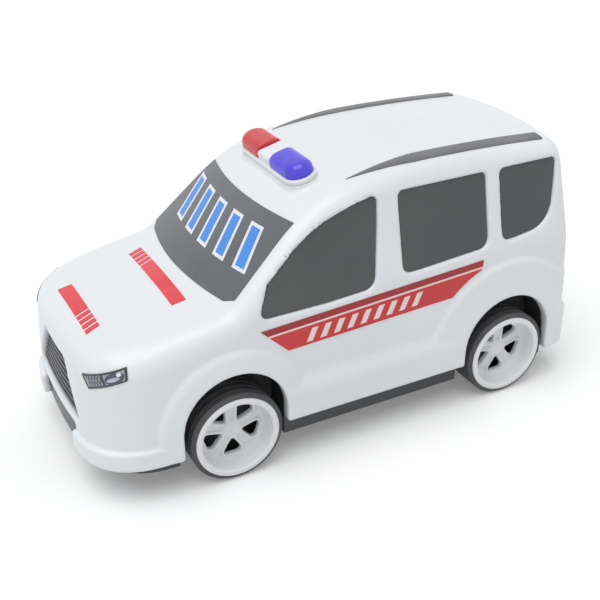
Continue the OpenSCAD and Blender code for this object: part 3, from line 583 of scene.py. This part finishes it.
# Even points round an outline
def outlineOf(corners, count, headings=720):
    turns = np.linspace(0, 2 * math.pi, headings, endpoint=False)
    heads = np.stack([np.cos(turns), np.sin(turns)], 1)
    spots = np.array(corners, float)
    pick = (heads @ spots[:, :2].T + spots[:, 2]).argmax(1)
    ring = spots[pick, :2] + spots[pick, 2:] * heads
    ring = np.concatenate([ring, ring[:1]])
    run = runAlong(ring)
    marks = np.linspace(0, run[-1], count, endpoint=False)
    return np.stack([np.interp(marks, run, ring[:, k]) for k in (0, 1)], 1)


# A front with a rolled edge, a back, and a rim between them
def pane(corners, place, heading, front, back):
    ring = outlineOf(corners, paneSpec["points"])
    centre = ring.mean(0)
    shares = paneSpec["shares"]
    count, rings = len(ring), len(shares)
    depths = [front - paneSpec["rolled"]] + [front] * (rings - 1) + [back] * rings
    points = [onForm(place(centre + share * (ring - centre)), heading, depth)
              for share, depth in zip(shares * 2, depths)]
    faces = []
    for half in (0, rings):
        for i in range(rings - 1):
            a, b = (half + i) * count, (half + i + 1) * count
            strip = [(a + j, a + (j + 1) % count, b + (j + 1) % count, b + j) for j in range(count)]
            faces += strip if half == 0 else [tuple(reversed(f)) for f in strip]
        middle = tuple((half + rings - 1) * count + j for j in range(count))
        faces.append(middle if half == 0 else tuple(reversed(middle)))
    edge = rings * count
    faces += [(j, edge + j, edge + (j + 1) % count, (j + 1) % count) for j in range(count)]
    points = np.concatenate(points)
    around = np.cross(points[1] - points[0], points[count] - points[0])
    outward = float(around @ np.asarray(heading, float)) > 0
    return points, faces if outward else [tuple(reversed(f)) for f in faces]


def besideDoor(ring):
    return np.stack([ring[:, 0], np.full(len(ring), paneSpec["sideY"]), ring[:, 1]], 1)


def endPane(corners, way, depths):
    def atEnd(ring):
        return np.stack([np.full(len(ring), way * paneSpec["endX"]), ring[:, 0], ring[:, 1]], 1)
    return pane(corners, atEnd, (way, 0, 0), *depths)


panes = [pane(corners, besideDoor, (0, 1, 0), *paneDepths["window"]) for corners in sideWindows.values()]
makePair("windowPanel", "window_panel", *joined(panes), "smoked_window", "smokedWindow",
         crease=paneSpec["crease"])
makePiece("rearWindowPanel", *endPane(tailWindow, -1, paneDepths["window"]), "car", ["rear_window_panel"],
          "smoked_window", "smokedWindow", crease=paneSpec["crease"])
# The second pane is black plastic in the bumper's notch, and its dark is partly painted shade, standing in
# for the shade under the bumper's lip
for name, corners, depth in (("grilleBack", grilleMouth, "grille"), ("lowerGrilleAndShade", lowerInsertAndShade, "lower")):
    makePiece(name, *endPane(corners, 1, paneDepths[depth]), "car", ["grille_insert"], "grille_black",
              "grilleBlack", crease=paneSpec["crease"])
print("stage: windows")

# Grille slats, repeated up the mouth and bowed with the nose
slatSpec = {"Count": 8, "Foot": (0.1384, 0.0, 0.0411), "Step": (-0.00024, 0.0, 0.00311), "Wide": 0.0305,
            "Narrow": 0.0165, "Bow": 0.0022, "Thickness": 0.0014, "Depth": 0.0024}
slatBuild = {"bends": 20, "corner": 0.0005, "cornerPoints": 3, "crease": 35}


def slatTree():
    tree = bpy.data.node_groups.new("grilleSlats", "GeometryNodeTree")
    tree.interface.new_socket(name="Geometry", in_out="OUTPUT", socket_type="NodeSocketGeometry")
    kinds = {"Count": "NodeSocketInt", "Foot": "NodeSocketVector", "Step": "NodeSocketVector",
             "Material": "NodeSocketMaterial"}
    for key in list(slatSpec) + ["Material"]:
        tree.interface.new_socket(name=key, in_out="INPUT", socket_type=kinds.get(key, "NodeSocketFloat"))
    given = tree.nodes.new("NodeGroupInput").outputs
    line = addNode(tree, "GeometryNodeMeshLine", {"Count": given["Count"], "Start Location": given["Foot"],
                                                  "Offset": given["Step"]}, mode="OFFSET")
    bow = addNode(tree, "ShaderNodeCombineXYZ", {"X": given["Bow"]})
    curve = addNode(tree, "GeometryNodeCurveQuadraticBezier", {
        "Resolution": slatBuild["bends"], "Start": (0.0, -1.0, 0.0), "Middle": bow.outputs[0],
        "End": (0.0, 1.0, 0.0)})
    profile = addNode(tree, "GeometryNodeCurvePrimitiveQuadrilateral", {
        "Width": given["Thickness"], "Height": given["Depth"]})
    smooth = addNode(tree, "GeometryNodeFilletCurve", {
        "Curve": profile.outputs[0], "Count": slatBuild["cornerPoints"], "Radius": slatBuild["corner"]},
        mode="POLY")
    slat = addNode(tree, "GeometryNodeCurveToMesh", {
        "Curve": curve.outputs[0], "Profile Curve": smooth.outputs[0], "Fill Caps": True})
    last = addNode(tree, "ShaderNodeMath", {0: given["Count"], 1: 1.0}, operation="SUBTRACT")
    order = addNode(tree, "GeometryNodeInputIndex")
    half = addNode(tree, "ShaderNodeMapRange", {"Value": order.outputs[0], "From Max": last.outputs[0],
                                                "To Min": given["Wide"], "To Max": given["Narrow"]})
    size = addNode(tree, "ShaderNodeCombineXYZ", {"X": 1.0, "Y": half.outputs[0], "Z": 1.0})
    placed = addNode(tree, "GeometryNodeInstanceOnPoints", {
        "Points": line.outputs[0], "Instance": slat.outputs[0], "Scale": size.outputs[0]})
    real = addNode(tree, "GeometryNodeRealizeInstances", {"Geometry": placed.outputs[0]})
    painted = addNode(tree, "GeometryNodeSetMaterial", {"Geometry": real.outputs[0],
                                                        "Material": given["Material"]})
    addNode(tree, "NodeGroupOutput", {0: painted.outputs[0]})
    return tree


# Plain mesh from a tree, with the modifier taken off again
def grown(name, tree, values, crease):
    maker = bpy.data.objects.new(name, bpy.data.meshes.new(name + "Seed"))
    bpy.context.scene.collection.objects.link(maker)
    modifier = maker.modifiers.new("grow", "NODES")
    modifier.node_group = tree
    for socket in tree.interface.items_tree:
        if socket.in_out == "INPUT":
            modifier[socket.identifier] = values[socket.name]
    graph = bpy.context.evaluated_depsgraph_get()
    mesh = bpy.data.meshes.new_from_object(maker.evaluated_get(graph))
    maker.modifiers.remove(modifier)
    maker.data = mesh
    mesh.polygons.foreach_set("use_smooth", [True] * len(mesh.polygons))
    mesh.set_sharp_from_angle(angle=math.radians(crease))
    return maker


slats = grown("grilleSlats", slatTree(), dict(slatSpec, Material=paints["grilleBlack"]), slatBuild["crease"])
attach(slats, "car")
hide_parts("grille_insert")
print("stage: grille")

# Stickers: thin sheets just above the skin
stickerSpec = {"low": 0.02, "high": 0.36, "crease": 40, "unit": 100.0}


def sticker(net):
    return sheet(net, stickerSpec["low"], stickerSpec["high"])


def bothFaces(uv):
    return np.tile(np.array(uv).reshape(-1, 2), (2, 1))


screenSpec = {"foot": 1.5, "reach": 52.0, "half": (53.0, 47.5), "cut": 6.0, "cutShare": 0.06, "rows": 34,
              "columns": 65}


def screenNet(spec):
    lean = np.array([math.sin(rake), 0, math.cos(rake)])
    tall = spec["reach"] - spec["foot"]
    corner = spec["cutShare"]
    net, uv = [], []
    for v in np.concatenate([[0, corner / 2, corner], np.linspace(1.5 * corner, 1, spec["rows"])]):
        half = spread(spec["half"], v) - spec["cut"] * max(1 - v / corner, 0)
        y = np.linspace(-half, half, spec["columns"])
        s = spec["foot"] + v * tall + formSpec["screenBow"] * (y / halfW) ** 2 * math.cos(rake)
        row = np.stack([cowlX - s * math.cos(rake), y, cowlH + s * math.sin(rake)], 1)
        net.append(onForm(row, lean, 0.0))
        uv.append(np.stack([y, np.full(len(y), v * tall)], 1) / stickerSpec["unit"])
    return np.array(net), bothFaces(uv)


net, uv = screenNet(screenSpec)
makePiece("windscreenSticker", *sticker(net), "car", ["windscreen_sticker"], "screen_print", "screenPrint",
          uv=uv, crease=stickerSpec["crease"])

bonnetBars = {"width": 7.5, "slant": 2.6, "rows": 7, "pitch": 1.2, "startZ": 84.0, "marks": 4, "mark": 3.0,
              "front": {"x": cowlX + 52, "solid": (-22, 8), "first": 9.5, "step": 4.5},
              "rear": {"x": cowlX + 10, "solid": (32, -14), "first": -15.5, "step": -4.5}}


# One bar across the bonnet, with slanted ends
def barNet(x, start, end, slants):
    share = np.linspace(0, 1, max(3, int(abs(end - start) / bonnetBars["pitch"])))
    level = np.full(len(share), bonnetBars["startZ"])
    rows = []
    for spot in np.linspace(-0.5, 0.5, bonnetBars["rows"]):
        first = start + spot * slants[0] * bonnetBars["slant"]
        last = end + spot * slants[1] * bonnetBars["slant"]
        along = np.full(len(share), x + spot * bonnetBars["width"])
        rows.append(onForm(np.stack([along, spread((first, last), share), level], 1), (0, 0, 1), 0.0))
    return np.array(rows)


bars = []
for key in ("front", "rear"):
    spec = bonnetBars[key]
    bars.append(sticker(barNet(spec["x"], *spec["solid"], (0, 1))))
    for k in range(bonnetBars["marks"]):
        start = spec["first"] + k * spec["step"]
        end = start + math.copysign(bonnetBars["mark"], spec["step"])
        bars.append(sticker(barNet(spec["x"], start, end, (1, 1))))
makePiece("bonnetStickers", *joined(bars), "car", ["bonnet_stickers"], "red_print", "bonnetRed",
          crease=stickerSpec["crease"])

bandSpec = {"tip": (frontPillarX + 0.6, 80.0), "foot": (frontPillarX - 14, 65.6),
            "end": (rearAxleX + 19, 87.4), "arc": 52.2, "turns": (68, 44), "arcPoints": 9, "rows": 15,
            "columns": 90}


# The band runs back from its tip, and ends along an arc round the rear flare
def bandNet(spec):
    tip, foot, end = [np.array(spec[key]) for key in ("tip", "foot", "end")]
    turns = np.radians(np.linspace(*spec["turns"], spec["arcPoints"]))
    arc = np.stack([rearAxleX + spec["arc"] * np.cos(turns), archZ + spec["arc"] * np.sin(turns)], 1)
    rear = np.concatenate([[end], arc])
    run = runAlong(rear)
    along = (end - tip) / np.linalg.norm(end - tip)
    down = np.array([-along[1], along[0]])
    shares = np.linspace(0, 1, spec["columns"])[:, None]
    net, uv = [], []
    for v in np.linspace(0, 1, spec["rows"]):
        first = spread((tip, foot), v)
        last = np.array([np.interp(v * run[-1], run, rear[:, k]) for k in (0, 1)])
        line = spread((first, last), shares)
        start = np.stack([line[:, 0], np.full(len(line), halfW), line[:, 1]], 1)
        net.append(onForm(start, (0, 1, 0), 0.0))
        uv.append(np.stack([(line - tip) @ along, (line - tip) @ down], 1) / stickerSpec["unit"])
    return np.array(net), bothFaces(uv)


net, uv = bandNet(bandSpec)
makePair("sideSticker", "side_sticker", *sticker(net), "red_print", "bandRed", uv, stickerSpec["crease"])

lampSpec = {"turns": (47.0, 70.0), "slant": 4.0, "foot": (63.4, 71.2), "top": (69.6, 77.0), "behind": 45.0,
            "start": 50.0, "rows": 11, "columns": 33}


# The lamp wraps round the front corner, drawn by turning about a post behind it
def lampNet(spec):
    u = np.linspace(0, 1, spec["columns"])
    zero = np.zeros(len(u))
    foot, top = spread(spec["foot"], u), spread(spec["top"], u)
    net, uv = [], []
    for v in np.linspace(0, 1, spec["rows"]):
        turn = np.radians(spread(spec["turns"], u) + spec["slant"] * (1 - u) * (1 - v))
        heading = np.stack([np.cos(turn), np.sin(turn), zero], 1)
        middle = np.stack([zero + noseX - spec["behind"], zero, spread((foot, top), v)], 1)
        net.append(onForm(middle + spec["start"] * heading, heading, 0.0))
        uv.append(np.stack([u, zero + v], 1))
    return np.array(net), bothFaces(uv)


net, uv = lampNet(lampSpec)
makePair("headlampSticker", "headlamp_sticker", *sticker(net), "lamp_print", "lampPrint", uv,
         stickerSpec["crease"])
print("stage: stickers")

# Roof rails: low strips with a rounded back, drawn to a point in front
railSpec = {"x": (-4.0, -noseX + 22), "gauge": 41.0, "half": 4.0, "tip": (0.04, 3.0), "leastHalf": 0.12,
            "lift": 0.1, "rise": 1.0, "riseTip": (0.3, 4.0), "rolled": 0.6, "sunk": -0.2, "startZ": 138.0,
            "points": 80, "across": (-1, -0.86, -0.6, -0.3, 0, 0.3, 0.6, 0.86, 1), "crease": 50}


def railNet(spec):
    across = np.array(spec["across"])
    crown = spec["rise"] * (1 - spec["rolled"] * np.abs(across) ** 5)
    level = np.full(len(across), spec["startZ"])
    net, heights = [], []
    for u in np.linspace(0, 1, spec["points"]):
        half = max(spec["half"] * min(1, spec["tip"][0] + spec["tip"][1] * u), spec["leastHalf"])
        along = np.full(len(across), spread(spec["x"], u))
        net.append(onForm(np.stack([along, spec["gauge"] + half * across, level], 1), (0, 0, 1), 0.0))
        heights.append(spec["lift"] + crown * min(1, spec["riseTip"][0] + spec["riseTip"][1] * u))
    return np.array(net), np.array(heights).ravel()


net, heights = railNet(railSpec)
makePair("roofRail", "roof_rail", *sheet(net, railSpec["sunk"], heights), "rail_grey", "railGrey",
         crease=railSpec["crease"])

# Light bar on its seat: base with a middle block, and a ribbed hollow lens at each end
lightBar = {"base": 2.6, "plateEdge": 1.0, "lens": 6.6, "inset": 1.2, "dome": 6.0, "block": 6.5,
            "blockDrop": 1.5, "blockEdge": 1.2, "blockTop": 2.4, "blockFoot": 0.6, "gap": 0.4,
            "lensEdge": 1.0, "lift": 0.02, "wall": 1.4, "ribs": 3.2, "ribDepth": 0.22, "baseStep": 0.62,
            "lensStep": 0.6, "baseBox": ((-9, -33, 0), (9, 33, 9)),
            "lensBox": ((-8, 6, 2), (8, 33, 10))}


def baseGap(u, y, w):
    spec = lightBar
    plate = softMax(stadiumGap(u, y, barSpec["radius"]), np.maximum(w - spec["base"], -w), spec["plateEdge"])
    deep = barSpec["radius"] - spec["inset"]
    tall = np.maximum(w - spec["base"] - spec["lens"] + spec["blockDrop"], -w)
    block = softMax(np.abs(u) - deep, np.abs(y) - spec["block"], spec["blockEdge"])
    return softMin(plate, softMax(block, tall, spec["blockTop"]), spec["blockFoot"])


def lensGap(u, y, w):
    spec = lightBar
    w = w - spec["base"] - spec["lift"]
    dome = softMax(stadiumGap(u, y, barSpec["radius"] - spec["inset"]), w - spec["lens"], spec["dome"])
    outer = softMax(dome, spec["block"] + spec["gap"] - y, spec["lensEdge"])
    ribs = spec["ribDepth"] * np.cos(2 * math.pi * y / spec["ribs"])
    return np.maximum(np.maximum(outer, -w), -(outer + spec["wall"] + ribs))


def onSeat(points):
    turn, lean = math.cos(barSpec["tilt"]), math.sin(barSpec["tilt"])
    u, y, w = points.T
    return np.stack([barSpec["x"] + u * turn + w * lean, y, barSpec["z"] - u * lean + w * turn], 1)


points, faces = surfaceNet(baseGap, *lightBar["baseBox"], lightBar["baseStep"])
makePiece("lightBarBase", onSeat(points), faces, "car", ["light_bar_base"], "body_white", "bodyWhite")
points, faces = surfaceNet(lensGap, *lightBar["lensBox"], lightBar["lensStep"])
makePiece("lightBarBlueLens", onSeat(points), faces, "car", ["light_bar_blue_lens"], "blue_lens", "blueLens")
makePiece("lightBarRedLens", *mirrored(onSeat(points), faces), "car", ["light_bar_red_lens"], "red_lens",
          "redLens")
print("stage: roof fittings")

# Rims: a lip, a deep dish, a floor with five windows and a hub
rimSpec = {"face": 1000 * cadHigh.y, "back": 12.0, "noHole": -9.0, "lip": (19.4, 22.6),
           "lipDepth": (0.15, 5.0), "lipEdge": 1.3, "lipBlend": 1.0, "dishR": 19.6, "dishFrom": 0.8,
           "dishLean": (0.975, 0.221), "dishHalf": 1.0, "dishEdge": 0.6, "floor": 10.0, "floorR": 18.4,
           "floorEdge": 0.8, "hub": 5.0, "hubRise": 1.6, "blend": 2.4, "windows": 5,
           "window": [(7.0, 0.0, 1.0), (13.2, 2.7, 2.0), (13.2, -2.7, 2.0)], "windowFrom": 8.0,
           "windowEdge": 0.5, "frame": 1.1, "frameHalf": 0.9, "frameEdge": 0.6, "frameBlend": 0.7,
           "step": 0.62, "box": ((-23, -23, 0), (23, 23, 12.2))}


def ringGap(r, d, spanR, spanD, soft):
    return softMax(softMax(spanR[0] - r, r - spanR[1], soft), softMax(spanD[0] - d, d - spanD[1], soft), soft)


def rimGap(a, b, d):
    spec = rimSpec
    r = np.hypot(a, b)
    back = d - spec["back"]
    lip = ringGap(r, d, spec["lip"], spec["lipDepth"], spec["lipEdge"])
    depth = (r - spec["dishR"]) * spec["dishLean"][0] + (d - spec["dishFrom"]) * spec["dishLean"][1]
    dishWall = np.abs(depth - spec["dishHalf"]) - spec["dishHalf"]
    dish = softMax(dishWall, np.maximum(spec["dishFrom"] - d, back), spec["dishEdge"])
    floorSpan = (spec["floor"], spec["back"])
    floor = ringGap(r, d, (spec["noHole"], spec["floorR"]), floorSpan, spec["floorEdge"])
    hubSpan = (spec["floor"] - spec["hubRise"], spec["back"])
    hub = ringGap(r, d, (spec["noHole"], spec["hub"]), hubSpan, spec["hubRise"])
    solid = softMin(softMin(softMin(lip, dish, spec["lipBlend"]), floor, spec["blend"]), hub, spec["blend"])
    frameTall = np.maximum(spec["floor"] - spec["frame"] - d, back)
    for k in range(spec["windows"]):
        turn = -0.5 * math.pi + 2 * math.pi * k / spec["windows"]
        u = a * math.cos(turn) + b * math.sin(turn)
        v = b * math.cos(turn) - a * math.sin(turn)
        hole = hullGap(u, v, spec["window"])
        ring = np.abs(hole - spec["frameHalf"]) - spec["frameHalf"]
        solid = softMin(solid, softMax(ring, frameTall, spec["frameEdge"]), spec["frameBlend"])
        solid = softMax(solid, -np.maximum(hole, spec["windowFrom"] - d), spec["windowEdge"])
    return solid


points, faces = surfaceNet(rimGap, *rimSpec["box"], rimSpec["step"])
for axle, axleX in (("front", frontAxleX), ("rear", rearAxleX)):
    for side, way in (("left", 1), ("right", -1)):
        a, b, d = points.T
        placed = np.stack([axleX + way * a, way * (rimSpec["face"] - d), axleZ + b], 1)
        makePiece(axle + side.title() + "Rim", placed, faces, axle + "_wheelset", [f"{axle}_{side}_rim"],
                  "rim_white", "rimWhite")
print("stage: rims")

# CAD pieces that keep their shape
kept = {"chassis": "chassisBlack", "chassis_screws": "screwSteel", "front_axle": "axleSteel",
        "rear_axle": "axleSteel"}
kept.update({f"{axle}_{side}_tyre": "tyreBlack" for axle in ("front", "rear") for side in ("left", "right")})
for node, paint in kept.items():
    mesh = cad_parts[node].data
    mesh.materials.clear()
    mesh.materials.append(paints[paint])

# Floor, lamps and world
stageLook = {"sun": 1.6, "soft": 0.9, "from": (0.3, 0.12, 1.0), "ambient": 0.55,
             "tint": (0.97, 0.985, 1.0, 1), "glow": 0.16, "reach": 8.0}
floorLook = {"name": "floorWhite", "colour": (0.86, 0.86, 0.86, 1), "shade": (0.85, 0.85, 0.845, 1),
             "cloud": 3.0, "grain": 60.0, "rough": (0.75, 0.9), "bump": 0.00005}


# White room for the camera and in glossy and clear surfaces, softer light for the rest
def seenStraight(tree):
    path = addNode(tree, "ShaderNodeLightPath").outputs
    mirrors = calc(tree, "MAXIMUM", path["Is Glossy Ray"], path["Is Transmission Ray"])
    return calc(tree, "MAXIMUM", path["Is Camera Ray"], mirrors)


def addStage(look):
    r = look["reach"]
    mesh = bpy.data.meshes.new("floor")
    mesh.from_pydata([(-r, -r, 0), (r, -r, 0), (r, r, 0), (-r, r, 0)], [], [(0, 1, 2, 3)])
    mesh.materials.append(moulded(floorLook))
    tree = mesh.materials[0].node_tree
    strength = calc(tree, "MULTIPLY", seenStraight(tree), look["glow"])
    glow = addNode(tree, "ShaderNodeEmission", {"Strength": strength})
    plain = tree.nodes["Principled BSDF"]
    both = addNode(tree, "ShaderNodeAddShader", {0: plain.outputs[0], 1: glow.outputs[0]})
    tree.links.new(both.outputs[0], tree.nodes["Material Output"].inputs["Surface"])
    floor = bpy.data.objects.new("floor", mesh)
    bpy.context.scene.collection.objects.link(floor)
    lamp = bpy.data.lights.new("sun", "SUN")
    lamp.energy = look["sun"]
    lamp.angle = look["soft"]
    sun = bpy.data.objects.new("sun", lamp)
    sun.rotation_euler = Vector(look["from"]).to_track_quat("Z", "Y").to_euler()
    bpy.context.scene.collection.objects.link(sun)
    world = bpy.data.worlds.new("room")
    bpy.context.scene.world = world
    world.use_nodes = True
    tree = world.node_tree
    room = tree.nodes["Background"]
    room.inputs["Color"].default_value = look["tint"]
    room.inputs["Strength"].default_value = look["ambient"]
    white = addNode(tree, "ShaderNodeBackground", {"Color": (1, 1, 1, 1), "Strength": 1.0})
    pick = addNode(tree, "ShaderNodeMixShader", {
        0: seenStraight(tree), 1: room.outputs[0], 2: white.outputs[0]})
    tree.links.new(pick.outputs[0], tree.nodes["World Output"].inputs["Surface"])


addStage(stageLook)
print("stage: done")
